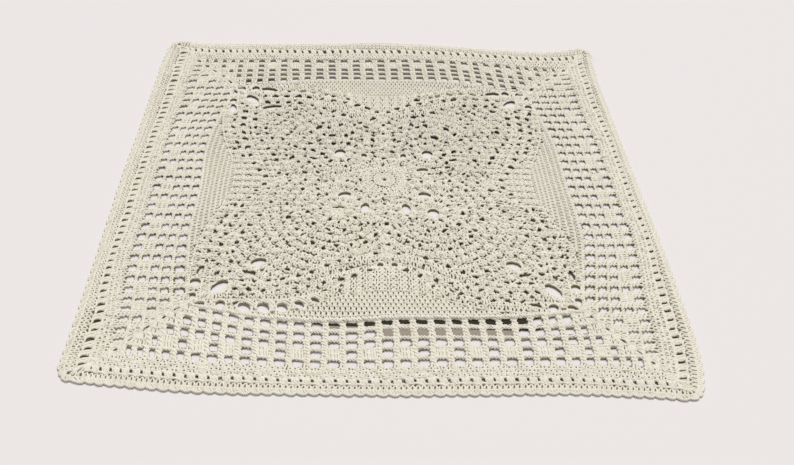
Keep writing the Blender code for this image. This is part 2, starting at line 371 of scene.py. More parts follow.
# Strands of each stitch: how far across and up its cell, and how deep under the top
stitchForms = {
    # two legs that leave a dark dot between them, and the loop that closes them
    "single": [
        [(-0.28, 0.88, 0.0020), (-0.35, 0.44, 0.0001), (0.00, -0.05, 0.0028),
         (0.35, 0.44, 0.0001), (0.28, 0.88, 0.0020)],
        [(-0.46, 0.88, 0.0024), (0.02, 1.04, -0.0001), (0.46, 0.86, 0.0024)],
    ],
    # a taller one with its legs crossed, and one lumpy cluster, for the medallion
    "crossed": [
        [(-0.26, -0.04, 0.0028), (-0.34, 0.28, 0.0004), (-0.04, 0.56, 0.0010), (0.26, 0.88, 0.0018)],
        [(0.26, -0.04, 0.0028), (0.32, 0.24, 0.0008), (0.08, 0.54, 0.0002), (-0.26, 0.86, 0.0014)],
        [(-0.46, 0.90, 0.0022), (0.00, 1.03, -0.0002), (0.46, 0.88, 0.0022)],
    ],
    "cluster": [
        [(-0.40, 0.10, 0.0020), (-0.26, 0.52, -0.0006), (0.12, 0.72, -0.0002), (0.40, 0.60, 0.0022)],
        [(-0.10, -0.06, 0.0028), (0.24, 0.20, -0.0003), (0.34, 0.55, 0.0016)],
        [(-0.46, 0.84, 0.0022), (-0.02, 1.00, 0.0002), (0.44, 0.90, 0.0022)],
    ],
    # a post of the mesh: three legs with three slanted wraps over them
    "post": [
        [(-0.28, -0.10, 0.0026), (-0.22, 0.50, 0.0016), (-0.42, 1.10, 0.0028)],
        [(0.18, -0.10, 0.0026), (0.26, 0.50, 0.0016), (0.50, 1.10, 0.0028)],
        [(-0.04, -0.10, 0.0026), (0.04, 0.50, 0.0018), (0.06, 1.10, 0.0028)],
        [(-0.48, -0.06, 0.0030), (-0.08, 0.08, -0.0006), (0.42, 0.26, 0.0026)],
        [(-0.46, 0.24, 0.0030), (-0.04, 0.40, -0.0012), (0.46, 0.60, 0.0028)],
        [(-0.44, 0.56, 0.0030), (0.02, 0.74, -0.0006), (0.52, 0.94, 0.0028)],
    ],
    # a filling stitch between two posts
    "fill": [
        [(-0.26, -0.10, 0.0022), (-0.30, 0.40, 0.0000), (-0.22, 1.08, 0.0020)],
        [(0.22, -0.10, 0.0022), (0.26, 0.42, 0.0004), (0.30, 1.08, 0.0020)],
        [(-0.34, 0.36, 0.0020), (0.02, 0.46, -0.0012), (0.36, 0.58, 0.0022)],
    ],
    # two posts of the eyelet row side by side, with the bars over and under the eyelet
    "pair": [
        [(-0.34, -0.06, 0.0030), (-0.23, 0.30, -0.0003), (-0.30, 0.62, 0.0010), (-0.18, 0.98, 0.0020)],
        [(-0.17, -0.06, 0.0030), (-0.08, 0.26, 0.0008), (-0.14, 0.60, -0.0005), (-0.02, 0.98, 0.0016)],
        [(0.03, -0.06, 0.0030), (0.15, 0.30, -0.0005), (0.04, 0.64, 0.0008), (0.14, 0.98, 0.0020)],
        [(0.24, -0.06, 0.0030), (0.28, 0.30, 0.0006), (0.20, 0.66, -0.0005), (0.30, 0.98, 0.0016)],
        [(-0.34, 0.52, 0.0018), (-0.14, 0.42, -0.0012), (0.04, 0.34, 0.0018)],
        [(0.00, 0.58, 0.0018), (0.18, 0.48, -0.0012), (0.34, 0.38, 0.0018)],
        [(0.26, 0.06, 0.0026), (0.50, 0.13, 0.0010), (0.74, 0.04, 0.0026)],
        [(0.10, 0.96, 0.0020), (0.34, 0.88, 0.0000), (0.62, 0.90, 0.0002), (0.92, 1.00, 0.0022)],
    ],
    "rib": [
        [(-0.20, -0.04, 0.0018), (-0.24, 0.25, -0.0014), (0.04, 0.50, -0.0020),
         (0.22, 0.75, -0.0014), (0.12, 1.04, 0.0014)],
        [(0.20, -0.04, 0.0018), (0.24, 0.25, -0.0012), (-0.04, 0.50, -0.0006),
         (-0.22, 0.75, -0.0012), (-0.12, 1.04, 0.0014)],
    ],
    # one low scallop of the edge, with slanted wraps over it
    "scallop": [
        [(-0.54, 0.48, 0.0026), (-0.34, 0.70, 0.0014), (-0.02, 0.90, 0.0008),
         (0.26, 0.86, 0.0010), (0.46, 0.52, 0.0022)],
        [(-0.56, -0.05, 0.0010), (-0.40, 0.30, -0.0002), (-0.22, 0.74, 0.0010)],
        [(-0.30, -0.08, 0.0010), (-0.14, 0.34, -0.0004), (0.04, 0.80, 0.0010)],
        [(-0.04, -0.10, 0.0010), (0.12, 0.30, -0.0003), (0.28, 0.66, 0.0012)],
        [(0.20, -0.10, 0.0012), (0.34, 0.16, 0.0000), (0.46, 0.40, 0.0014)],
    ],
}


def cellPoint(cell, u, v):
    baseLeft, baseRight, topLeft, topRight = cell
    s = u + 0.5
    base = [left * (1 - s) + right * s for left, right in zip(baseLeft, baseRight)]
    top = [left * (1 - s) + right * s for left, right in zip(topLeft, topRight)]
    return tuple(low * (1 - v) + high * v for low, high in zip(base, top))


def addStitch(strands, cell, form, looseness=0.0004, sink=0.0):
    moveX, moveY, moveZ = (rng.gauss(0.0, looseness) for _ in range(3))
    for strand in stitchForms[form]:
        strands.append([
            (*(a + b for a, b in zip(cellPoint(cell, u, v), (moveX, moveY))), depth + moveZ + sink)
            for u, v, depth in strand
        ])


# A row of stitches from one share to another of the way between two lines, round all four sides
def addSideRow(
    strands, inner, outer, forms, shares=(0.0, 1.0), keep=None, pitch=None, lean=0.0, shift=0.0, **kwargs
):
    (innerName, innerIn), (outerName, outerIn) = inner, outer
    pitch = pitch or cloth["stitch"]
    last = int((lineCorner(outerName) - outerIn) / pitch)
    for side in range(4):
        for step in range(-last, last + 1):
            places = [(step + shift + offset) * pitch for offset in (-0.5, 0.5)]
            cell = []
            for share, aside in zip(shares, (0.0, lean)):
                for place in places:
                    start = linePoint(side, innerName, place + aside, innerIn)
                    end = linePoint(side, outerName, place + aside, outerIn)
                    cell.append(tuple(a + (b - a) * share for a, b in zip(start, end)))
            if keep is None or keep(*cellPoint(cell, 0.0, 0.5)):
                addStitch(strands, cell, rng.choice(forms), **kwargs)


# A round of stitches about a centre on the chart, mirrored into one quarter
def addRing(strands, centre, inner, outer, forms, signs=(1, 1), keep=None, count=None, **kwargs):
    count = count or round(2 * math.pi * outer / cloth["stitch"])
    turn = rng.uniform(0.0, 6.28)  # one full turn
    for step in range(count):
        angles = [2 * math.pi * (step + offset) / count + turn for offset in (0.5, -0.5)]
        spots = []
        for radius in (inner, outer):
            for angle in angles:
                spots.append((centre[0] + radius * math.cos(angle), centre[1] + radius * math.sin(angle)))
        if keep is None or keep(*cellPoint(spots, 0.0, 0.5)):
            cell = [(signs[0] * x, signs[1] * y) for x, y in spots]
            addStitch(strands, cell, rng.choice(forms), **kwargs)


# Ribs of raised post stitches at the middle of each side, with low stitches between them
ribs = {
    "count": 7,
    "pitch": 0.0275,
    "reach": 0.097,
    "from": 0.334,
    "slope": 0.5,  # the outer ribs start later, along the medallion's edge
    "level": 0.045,  # and this far from the middle they don't yet
    "overlap": (0.004, 0.002),  # at the inner and at the outer end
    "tiers": 3,
    "width": 0.0180,
    "lowTiers": 6,
    "sink": 0.0006,
}


def ribStart(across):
    return ribs["from"] + ribs["slope"] * max(0.0, abs(across) - ribs["level"])


def inRibs(x, y):
    across = min(abs(x), abs(y))
    return across < ribs["reach"] and max(abs(x), abs(y)) > ribStart(across)


# Gaps of the medallion in one quarter: x, y, half length, half width, and turn of the length.
# All but those on the mesh's diagonal were read off the photograph, gap by gap.
quarterGaps = [
    # flower eyes where the floor shows
    (0.125, 0.130, 0.0150, 0.0150, 0),
    (0.055, 0.114, 0.0180, 0.0110, 80),
    (0.108, 0.060, 0.0170, 0.0110, 10),
    # eyelets between the flower's petals
    (0.080, 0.157, 0.0050, 0.0035, 120),
    (0.101, 0.168, 0.0050, 0.0035, 100),
    (0.123, 0.174, 0.0055, 0.0035, 90),
    (0.146, 0.166, 0.0055, 0.0035, 60),
    (0.164, 0.147, 0.0050, 0.0035, 30),
    (0.172, 0.124, 0.0045, 0.0030, 0),
    (0.165, 0.104, 0.0050, 0.0035, -20),
    (0.150, 0.088, 0.0045, 0.0030, -40),
    # the round outside them
    (0.066, 0.186, 0.0060, 0.0035, 20),
    (0.108, 0.206, 0.0095, 0.0045, 80),
    (0.150, 0.204, 0.0100, 0.0045, -30),
    (0.186, 0.180, 0.0075, 0.0050, -20),
    (0.203, 0.138, 0.0070, 0.0055, 20),
    (0.198, 0.100, 0.0080, 0.0035, 15),
    (0.180, 0.064, 0.0060, 0.0040, 40),
    # the round outside that
    (0.032, 0.184, 0.0085, 0.0035, 60),
    (0.030, 0.222, 0.0075, 0.0035, 50),
    (0.052, 0.247, 0.0075, 0.0040, 45),
    (0.087, 0.260, 0.0065, 0.0035, 100),
    (0.127, 0.262, 0.0080, 0.0045, 110),
    (0.160, 0.268, 0.0060, 0.0030, 0),
    (0.188, 0.250, 0.0080, 0.0045, -45),
    (0.214, 0.223, 0.0080, 0.0040, 45),
    (0.230, 0.200, 0.0065, 0.0045, 30),
    (0.252, 0.155, 0.0085, 0.0060, 50),
    (0.258, 0.102, 0.0070, 0.0035, 100),
    (0.222, 0.038, 0.0065, 0.0045, 30),
    (0.182, 0.036, 0.0055, 0.0045, 0),
    # crescents under the corner leaf
    (0.315, 0.318, 0.0190, 0.0120, 20),
    (0.338, 0.356, 0.0190, 0.0060, -12),
    (0.270, 0.226, 0.0045, 0.0035, 45),
    (0.343, 0.247, 0.0055, 0.0050, 0),
    (0.247, 0.343, 0.0055, 0.0050, 0),
    # the corner's oval and the loops round it
    (0.401, 0.402, 0.0250, 0.0130, 48),
    (0.440, 0.462, 0.0150, 0.0090, 35),
    (0.462, 0.440, 0.0150, 0.0090, 55),
    (0.392, 0.458, 0.0110, 0.0105, 0),
    (0.458, 0.392, 0.0110, 0.0105, 0),
    (0.350, 0.453, 0.0160, 0.0060, 12),
    (0.453, 0.350, 0.0160, 0.0060, 78),
    # one small eyelet on the diagonal in each row of the mesh
    (0.484, 0.484, 0.0050, 0.0036, 45),
    (0.516, 0.516, 0.0050, 0.0036, 45),
    (0.548, 0.548, 0.0050, 0.0036, 45),
    (0.580, 0.580, 0.0050, 0.0036, 45),
    (0.611, 0.611, 0.0045, 0.0034, 45),
]
# Gaps that one quarter has of another size, by number and quarter: half length, half width, and how
# far they are moved along y
drawnGaps = {
    (0, -1, -1): (0.0170, 0.0030, 0.014),  # the front left flower has its eye pulled shut to a slit
    (1, 1, 1): (0.0110, 0.0075, 0.0),
    (1, -1, 1): (0.0100, 0.0070, 0.0),
    (2, 1, 1): (0.0165, 0.0085, -0.006),
    (2, -1, 1): (0.0060, 0.0035, 0.0),
    (31, 1, 1): (0.0076, 0.0042, 0.0),
    (31, -1, 1): (0.0076, 0.0042, 0.0),
}
closedEye = (-1, -1)

# Gaps along the medallion's lines, mirrored about each side's middle: places, half length and width.
# These, the arches and the gaps on the axes were read off the photograph too.
lineGaps = {
    "inner": {"at": [0.030, 0.095, 0.120, 0.150, 0.185, 0.215, 0.252, 0.288, 0.320, 0.352],
              "size": (0.0060, 0.0045)},
    "middle": {"at": [0.045, 0.080, 0.115, 0.152, 0.190, 0.224, 0.260, 0.294, 0.330, 0.362],
               "size": (0.0065, 0.0045)},
    "outer": {"at": [0.108, 0.153, 0.176, 0.214, 0.250, 0.286, 0.320],
              "size": (0.0070, 0.0032)},
}
# From this place on, the outer ones at the front left are drawn open to arches, with bars over them
openArches = {
    "side": 0,
    "sign": -1,
    "outwards": 0.022,
    "turn": 30.0,
    "from": 0.17,
    # place, half length, half width
    "spots": [(0.172, 0.0115, 0.0050), (0.208, 0.0125, 0.0060), (0.247, 0.0130, 0.0085),
              (0.291, 0.0150, 0.0100), (0.335, 0.0155, 0.0105)],
    "bar": {"half": 0.017, "aside": (0.003, 0.009),
            "shape": ((-1.0, 0.0010), (-0.3, -0.0036), (0.4, -0.0036), (1.0, 0.0010))},
}
# Gaps on the axes: distance from the centre, half length, half width
axisGaps = [
    (0.000, 0.0040, 0.0040),
    (0.066, 0.0050, 0.0040),
    (0.101, 0.0055, 0.0045),
    (0.140, 0.0045, 0.0035),
    (0.180, 0.0055, 0.0040),
    (0.216, 0.0060, 0.0045),
    (0.258, 0.0060, 0.0045),
]
squareGap = {"across": 0.0175, "out": 0.325, "half": 0.0075, "squash": 0.85}
# The back half is drawn more open, and wide gaps keep their size
gapScale = {
    "front": (0.92, 0.92),
    "back": (0.75, 1.75),
    "lines": (0.75, 1.2),
    "backFrom": 0.05,
    "wide": 0.009,
    "openFrom": 0.0058,  # the floor shows through gaps of more than this half width
}
gapScatter = {"quarter": 0.0012, "line": 0.0015, "lineTurn": 0.4, "axis": 0.002}


def archPlaces():
    side, sign = openArches["side"], openArches["sign"]
    turn = math.radians(90.0 * side - openArches["turn"])
    return [
        (*linePoint(side, "outer", sign * place, -openArches["outwards"]), length, width, turn, 1)
        for place, length, width in openArches["spots"]
    ]


# Each gap as x, y, half length, half width, turn, and 1 where the floor shows through it
def medallionGaps():
    gaps = archPlaces()
    for signX, signY in ((1, -1), (1, 1), (-1, 1), (-1, -1)):
        for number, (x, y, length, width, turn) in enumerate(quarterGaps):
            moveX, moveY = (rng.gauss(0.0, gapScatter["quarter"]) for _ in range(2))
            if width < gapScale["wide"]:
                scale = rng.uniform(*gapScale["back" if signY > 0 else "front"])
                length, width = length * scale, width * scale
            if (number, signX, signY) in drawnGaps:
                length, width, slide = drawnGaps[(number, signX, signY)]
                moveY += slide
            angle = math.radians(turn) * signX * signY
            isOpen = quarterGaps[number][3] > gapScale["openFrom"] and width > gapScale["openFrom"]
            gaps.append((signX * x + moveX, signY * y + moveY, length, width, angle, isOpen))
    for side in range(4):
        angle = math.radians(90.0) * side
        for name, row in lineGaps.items():
            length, width = row["size"]
            for place in row["at"]:
                for sign in (-1, 1):
                    across = sign * place + rng.gauss(0.0, gapScatter["line"])
                    if name == "outer" and place > openArches["from"]:
                        if (side, sign) == (openArches["side"], openArches["sign"]):
                            continue
                    x, y = linePoint(side, name, across)
                    scale = rng.uniform(*gapScale["back" if y > gapScale["backFrom"] else "lines"])
                    turn = angle + rng.gauss(0.0, gapScatter["lineTurn"])
                    gaps.append((x, y, length * scale, width * scale, turn, 0))
        for sign in (-1, 1):
            x, y = sidePoint(side, sign * squareGap["across"], squareGap["out"])
            width = squareGap["half"] * squareGap["squash"]
            gaps.append((x, y, squareGap["half"], width, angle, side == 0))
        for out, length, width in axisGaps[1:]:
            x, y = sidePoint(side, rng.gauss(0.0, gapScatter["axis"]), out)
            gaps.append((x, y, length, width, angle, 0))
    gaps.append((0.0, 0.0, axisGaps[0][1], axisGaps[0][2], 0.0, 0))
    return np.array(gaps)


gaps = medallionGaps()
openGaps = gaps[gaps[:, 5] > 0]


# Chart point at u along a gap's length and v across it
def gapPoint(x, y, angle, u, v):
    cos, sin = math.cos(angle), math.sin(angle)
    return x + u * cos - v * sin, y + u * sin + v * cos


# Short slits where the cord is drawn apart: dots between the clusters and crescents beyond them.
# The backing's painted shade shows in them.
ticks = {
    "dot": (0.0036, 0.0022),
    "crescent": (0.0070, 0.0007),
    "crescentShare": 0.5,
    "shellShare": 0.6,
    "shellPlaces": 17,
    "backScale": 1.5,
    "backShare": 0.55,
    "scale": (0.7, 1.25),
    "scatter": 0.0018,
    "turn": 0.35,
    "clear": 0.006,  # of the gaps
    "from": 0.075,
    "margin": 0.004,  # inside the axes and the inner line
}


def medallionTicks():
    slits = []

    def addSlit(x, y, angle, size):
        if y > gapScale["backFrom"] and rng.random() > ticks["backShare"]:
            return
        x, y = (place + rng.gauss(0.0, ticks["scatter"]) for place in (x, y))
        clear = np.min(np.hypot(gaps[:, 0] - x, gaps[:, 1] - y) - gaps[:, 2])
        if clear > ticks["clear"] and math.hypot(x, y) > ticks["from"] and not inRibs(x, y):
            scale = rng.uniform(*ticks["scale"])
            scale *= ticks["backScale"] if y > gapScale["backFrom"] else 1.0
            turn = angle + rng.gauss(0.0, ticks["turn"])
            slits.append((x, y, size[0] * scale, size[1] * scale, turn))

    for signX, signY in ((1, -1), (1, 1), (-1, 1), (-1, -1)):
        for ring in range(flower["rings"]):
            radius, count = flower["eye"] + flower["ring"] * (ring + 1), ringCount(ring)
            for step in range(2 * count):
                angle = math.pi * step / count
                x = flower["at"][0] + radius * math.cos(angle)
                y = flower["at"][1] + radius * math.sin(angle)
                tangent = (angle + math.pi / 2) * signX * signY
                big, small = max(x, y), min(x, y)
                if small < ticks["margin"] or big > lineReach("inner", small) - ticks["margin"]:
                    continue
                if step % 2:
                    addSlit(signX * x, signY * y, tangent, ticks["dot"])
                elif rng.random() < ticks["crescentShare"]:
                    addSlit(signX * x, signY * y, tangent, ticks["crescent"])
    for side in range(4):
        for lines in (("inner", "middle"), ("middle", "outer"), ("outer", "edge")):
            for step in range(-ticks["shellPlaces"], ticks["shellPlaces"] + 1):
                across = flower["clusterWidth"] * (step + 0.5)
                if rng.random() < ticks["shellShare"] and abs(across) < lineCorner(lines[0]):
                    start, end = (linePoint(side, name, across) for name in lines)
                    x, y = ((a + b) / 2 for a, b in zip(start, end))
                    addSlit(x, y, math.radians(90.0) * side, ticks["dot"])
    return np.array(slits)


gapsAndTicks = np.vstack((gaps[:, :5], medallionTicks()))


# Strands that would cross a gap or a slit are draped round it, on the side where they mostly lie.
# One that lies well inside a wide gap is left out.
draping = {"within": 0.022, "inside": 0.62, "central": 0.05}


def clearGaps(strands):
    centres = np.array([np.mean([point[:2] for point in strand], axis=0) for strand in strands])
    margin = cloth["cordRadius"]
    kept = []
    for strand, centre in zip(strands, centres):
        away = gapsAndTicks[:, :2] - centre
        near = np.nonzero(np.hypot(away[:, 0], away[:, 1]) < gapsAndTicks[:, 2] + draping["within"])[0]
        points = np.array(strand)
        inside = False
        for index in near:
            x, y, length, width, angle = gapsAndTicks[index]
            cos, sin = math.cos(angle), math.sin(angle)
            turned = np.array([[cos, sin], [-sin, cos]])
            sizes = np.array([length + margin, width + margin])
            local = (points[:, :2] - (x, y)) @ turned.T / sizes
            heading = turned @ (centre - (x, y)) / sizes
            reach = math.hypot(*heading)
            if reach < draping["inside"] and width > gapScale["wide"]:
                inside = True
                break
            if reach < draping["central"]:
                heading, reach = np.array([0.0, 1.0]), 1.0
            heading = heading / reach
            acrossWay = np.array([-heading[1], heading[0]])
            along, across = local @ heading, local @ acrossWay
            rim = np.sqrt(np.clip(1.0 - across**2, 0.0, None))
            pushed = np.where((np.abs(across) < 1.0) & (along < rim), rim, along)
            moved = np.outer(pushed, heading) + np.outer(across, acrossWay)
            points[:, :2] = (moved * sizes) @ turned + (x, y)
        if not inside:
            kept.append([tuple(point) for point in points])
    return kept


# Adds a node, with its settings and with a value or a link on each named input
def addNode(tree, kind, inputs=None, **settings):
    node = tree.nodes.new(kind)
    for name, value in settings.items():
        setattr(node, name, value)
    for socket, value in (inputs or {}).items():
        if isinstance(value, bpy.types.NodeSocket):
            tree.links.new(value, node.inputs[socket])
        else:
            node.inputs[socket].default_value = value
    return node


cordSection = {"sides": 5, "plainSides": 4}  # plainer for thin or distant cord


# Sweeps strands to round cord and keeps the place along and around it for the material
def makeCordSweep(name, radius, sides):
    tree = bpy.data.node_groups.new(name, "GeometryNodeTree")
    tree.interface.new_socket("Strands", in_out="INPUT", socket_type="NodeSocketGeometry")
    tree.interface.new_socket("Cord", in_out="OUTPUT", socket_type="NodeSocketGeometry")
    start = addNode(tree, "NodeGroupInput")
    place = addNode(tree, "GeometryNodeSplineParameter")
    index = addNode(tree, "GeometryNodeInputIndex")
    tone = addNode(tree, "FunctionNodeRandomValue", {"ID": index.outputs[0]})
    along = addNode(
        tree, "GeometryNodeStoreNamedAttribute",
        {"Geometry": start.outputs[0], "Name": "along", "Value": place.outputs["Length"]},
        data_type="FLOAT", domain="POINT",
    )
    toned = addNode(
        tree, "GeometryNodeStoreNamedAttribute",
        {"Geometry": along.outputs[0], "Name": "tone", "Value": tone.outputs[1]},
        data_type="FLOAT", domain="CURVE",
    )
    circle = addNode(
        tree, "GeometryNodeCurvePrimitiveCircle",
        {"Resolution": sides, "Radius": radius},
    )
    around = addNode(
        tree, "GeometryNodeStoreNamedAttribute",
        {"Geometry": circle.outputs["Curve"], "Name": "around",
         "Value": addNode(tree, "GeometryNodeInputPosition").outputs[0]},
        data_type="FLOAT_VECTOR", domain="POINT",
    )
    sweep = addNode(
        tree, "GeometryNodeCurveToMesh",
        {"Curve": toned.outputs[0], "Profile Curve": around.outputs[0], "Fill Caps": True},
    )
    smooth = addNode(tree, "GeometryNodeSetShadeSmooth", {"Geometry": sweep.outputs[0]})
    addNode(tree, "NodeGroupOutput", {"Cord": smooth.outputs[0]})
    return tree


cordSweep = makeCordSweep("cordSweep", cloth["cordRadius"], cordSection["sides"])
plainSweep = makeCordSweep("plainSweep", cloth["cordRadius"], cordSection["plainSides"])
chainSweep = makeCordSweep("chainSweep", cloth["chainRadius"], cordSection["plainSides"])


def linked(obj):
    bpy.context.scene.collection.objects.link(obj)
    return obj


# The object's evaluated shape as a mesh object of its own, in the object's place
def meshOf(obj, name):
    graph = bpy.context.evaluated_depsgraph_get()
    mesh = bpy.data.meshes.new_from_object(obj.evaluated_get(graph))
    bpy.data.objects.remove(obj, do_unlink=True)
    return linked(bpy.data.objects.new(name, mesh))


def dressed(piece, material):
    piece.data.materials.clear()
    piece.data.materials.append(material)
    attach(piece, "root")
    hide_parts("crochet_cloth")
    return piece


# Lays the strands on the cloth's place and height and sweeps them to one mesh
def cordPiece(name, strands, material, sweep=cordSweep):
    curve = bpy.data.curves.new(name + "Strands", "CURVE")
    curve.dimensions = "3D"
    lowest = cloth["cordRadius"]
    for strand in strands:
        spline = curve.splines.new("POLY")
        spline.points.add(len(strand) - 1)
        places = []
        for x, y, depth in strand:
            laidX, laidY = layPoint(x, y)
            z = max(lowest, clothTop(x, y) - cloth["cordRadius"] - depth)
            places += (laidX, laidY, z + cornerLift(laidX, laidY), 1.0)
        spline.points.foreach_set("co", places)
    guide = linked(bpy.data.objects.new(name + "Guide", curve))
    guide.modifiers.new("sweep", "NODES").node_group = sweep
    piece = dressed(meshOf(guide, name), material)
    print(name, len(strands), "strands", sum(len(face.vertices) - 2 for face in piece.data.polygons))
    return piece


# Linear colour of an sRGB hex value
def toLinear(code):
    parts = [int(code[i:i + 2], 16) / 255 for i in (1, 3, 5)]
    return tuple(p / 12.92 if p <= 0.04045 else ((p + 0.055) / 1.055) ** 2.4 for p in parts) + (1.0,)


def newMaterial(name):
    material = bpy.data.materials.new(name)
    material.use_nodes = True
    tree = material.node_tree
    tree.nodes.clear()
    return material, tree


# Soft three-ply cotton cord: no shine, a little fuzz, and a fine diagonal line between the plies
# that is painted shade in their groove
cottonCord = {
    "pale": "#F3F0E6",
    "deep": "#E7E2D3",
    # colour of the painted shade in the groove between the plies
    "paintedGrooveShade": "#A79C84",
    "roughness": 0.88,
    "lay": 0.013,
    "plies": 3,
    "plyDepth": 0.0006,
    "plyStrength": 0.6,
    "grooveShade": 0.22,
    "grooveFade": 0.3,  # the groove's shade ends at this share of a ply's height
    "fuzzSize": 0.0011,
    "fuzzDepth": 0.0002,
    "fuzzStrength": 0.5,
    "patchScale": 9.0,  # softly paler and deeper places, this many to a metre
    "patchShare": 0.6,
    "sheen": 0.15,
    "sheenRoughness": 0.6,
    "specular": 0.25,
}


def cottonCordMaterial():
    material, tree = newMaterial("cottonCord")
    along = addNode(tree, "ShaderNodeAttribute", attribute_name="along").outputs["Fac"]
    around = addNode(tree, "ShaderNodeAttribute", attribute_name="around").outputs["Vector"]
    tone = addNode(tree, "ShaderNodeAttribute", attribute_name="tone").outputs["Fac"]
    split = addNode(tree, "ShaderNodeSeparateXYZ", {0: around})
    angle = addNode(tree, "ShaderNodeMath", {0: split.outputs[1], 1: split.outputs[0]}, operation="ARCTAN2")
    ownTurn = addNode(tree, "ShaderNodeMath", {0: angle.outputs[0], 1: float(cottonCord["plies"])},
                      operation="MULTIPLY")
    turn = addNode(
        tree, "ShaderNodeMath",
        {0: along, 1: 2 * math.pi * cottonCord["plies"] / cottonCord["lay"], 2: ownTurn.outputs[0]},
        operation="MULTIPLY_ADD",
    )
    wave = addNode(tree, "ShaderNodeMath", {0: turn.outputs[0]}, operation="SINE")
    ply = addNode(tree, "ShaderNodeMath", {0: wave.outputs[0]}, operation="ABSOLUTE")
    place = addNode(tree, "ShaderNodeTexCoord").outputs["Object"]
    fuzz = addNode(tree, "ShaderNodeTexNoise",
                   {"Vector": place, "Scale": 1 / cottonCord["fuzzSize"], "Detail": 2.0})
    patch = addNode(tree, "ShaderNodeTexNoise",
                    {"Vector": place, "Scale": cottonCord["patchScale"], "Detail": 3.0})
    shade = addNode(tree, "ShaderNodeMath", {0: patch.outputs[0], 1: cottonCord["patchShare"], 2: tone},
                    operation="MULTIPLY_ADD")
    level = addNode(tree, "ShaderNodeMapRange",
                    {0: shade.outputs[0], 1: 0.0, 2: 1.0 + cottonCord["patchShare"], 3: 0.0, 4: 1.0})
    colour = addNode(
        tree, "ShaderNodeMix",
        {0: level.outputs[0], 6: toLinear(cottonCord["deep"]), 7: toLinear(cottonCord["pale"])},
        data_type="RGBA",
    )
    # painted shade in the groove between the plies, fading out up each ply
    paintedGrooveShade = addNode(
        tree, "ShaderNodeMapRange",
        {0: ply.outputs[0], 1: 0.0, 2: cottonCord["grooveFade"], 3: cottonCord["grooveShade"], 4: 0.0},
    )
    grooved = addNode(
        tree, "ShaderNodeMix",
        {0: paintedGrooveShade.outputs[0], 6: colour.outputs[2], 7: toLinear(cottonCord["paintedGrooveShade"])},
        data_type="RGBA",
    )
    plyBump = addNode(tree, "ShaderNodeBump",
                      {"Strength": cottonCord["plyStrength"], "Distance": cottonCord["plyDepth"],
                       "Height": ply.outputs[0]})
    bump = addNode(tree, "ShaderNodeBump",
                   {"Strength": cottonCord["fuzzStrength"], "Distance": cottonCord["fuzzDepth"],
                    "Height": fuzz.outputs[0], "Normal": plyBump.outputs[0]})
    shader = addNode(
        tree, "ShaderNodeBsdfPrincipled",
        {"Base Color": grooved.outputs[2], "Roughness": cottonCord["roughness"],
         "Sheen Weight": cottonCord["sheen"], "Sheen Roughness": cottonCord["sheenRoughness"],
         "Specular IOR Level": cottonCord["specular"], "Normal": bump.outputs[0]},
    )
    addNode(tree, "ShaderNodeOutputMaterial", {"Surface": shader.outputs[0]})
    return material


# The same cord where it lies behind the front strands, as a shaded copy of it: its colour is painted
# shade, the colour of the shade between them. Each patch is a place of paler or darker painted shade:
# its span along x, its span along y, and its colour.
shadedBackCord = {
    "colour": "#75664C",
    "roughness": 1.0,
    "specular": 0.1,
    "strandSize": 0.006,
    "strandDepth": 0.002,
    "strandStrength": 0.8,
    # painted shade: paler under the front and the back mesh, deep under the front row that is pulled
    # tight over itself and grey in the row outside it, darker in the medallion's back half, paler again
    # along its back
    "shadePatches": [
        ((-0.62, 0.62), (-0.640, -0.470), "#8C8473"),
        ((-0.62, 0.62), (0.475, 0.62), "#948A74"),
        ((-0.16, 0.37), (-0.534, -0.475), "#3A332A"),
        ((-0.16, 0.37), (-0.565, -0.534), "#9A9186"),
        ((-0.47, 0.47), (0.06, 0.475), "#5A4F3C"),
        ((-0.30, 0.30), (0.395, 0.46), "#CFC6B0"),
    ],
}


def shadedBackCordMaterial():
    material, tree = newMaterial("shadedBackCord")
    place = addNode(tree, "ShaderNodeTexCoord").outputs["Object"]
    strand = addNode(tree, "ShaderNodeTexVoronoi", {"Vector": place, "Scale": 1 / shadedBackCord["strandSize"]})
    bump = addNode(tree, "ShaderNodeBump",
                   {"Strength": shadedBackCord["strandStrength"], "Distance": shadedBackCord["strandDepth"],
                    "Height": strand.outputs["Distance"]})
    split = addNode(tree, "ShaderNodeSeparateXYZ", {0: place})
    # painted shade: the backing's colour, with each patch's paler or darker shade mixed over it
    colour = toLinear(shadedBackCord["colour"])
    for *spans, patchShade in shadedBackCord["shadePatches"]:
        mask = 1.0
        for axis, (low, high) in enumerate(spans):
            within = addNode(
                tree, "ShaderNodeMath", {0: split.outputs[axis], 1: (low + high) / 2, 2: (high - low) / 2},
                operation="COMPARE",
            )
            mask = addNode(tree, "ShaderNodeMath", {0: within.outputs[0], 1: mask},
                           operation="MULTIPLY").outputs[0]
        colour = addNode(tree, "ShaderNodeMix", {0: mask, 6: colour, 7: toLinear(patchShade)},
                         data_type="RGBA").outputs[2]
    shader = addNode(
        tree, "ShaderNodeBsdfPrincipled",
        {"Base Color": colour, "Roughness": shadedBackCord["roughness"],
         "Specular IOR Level": shadedBackCord["specular"], "Normal": bump.outputs[0]},
    )
    addNode(tree, "ShaderNodeOutputMaterial", {"Surface": shader.outputs[0]})
    return material


cordMaterial = cottonCordMaterial()
# the backing's material: the cord in painted shade
shadedBackMaterial = shadedBackCordMaterial()

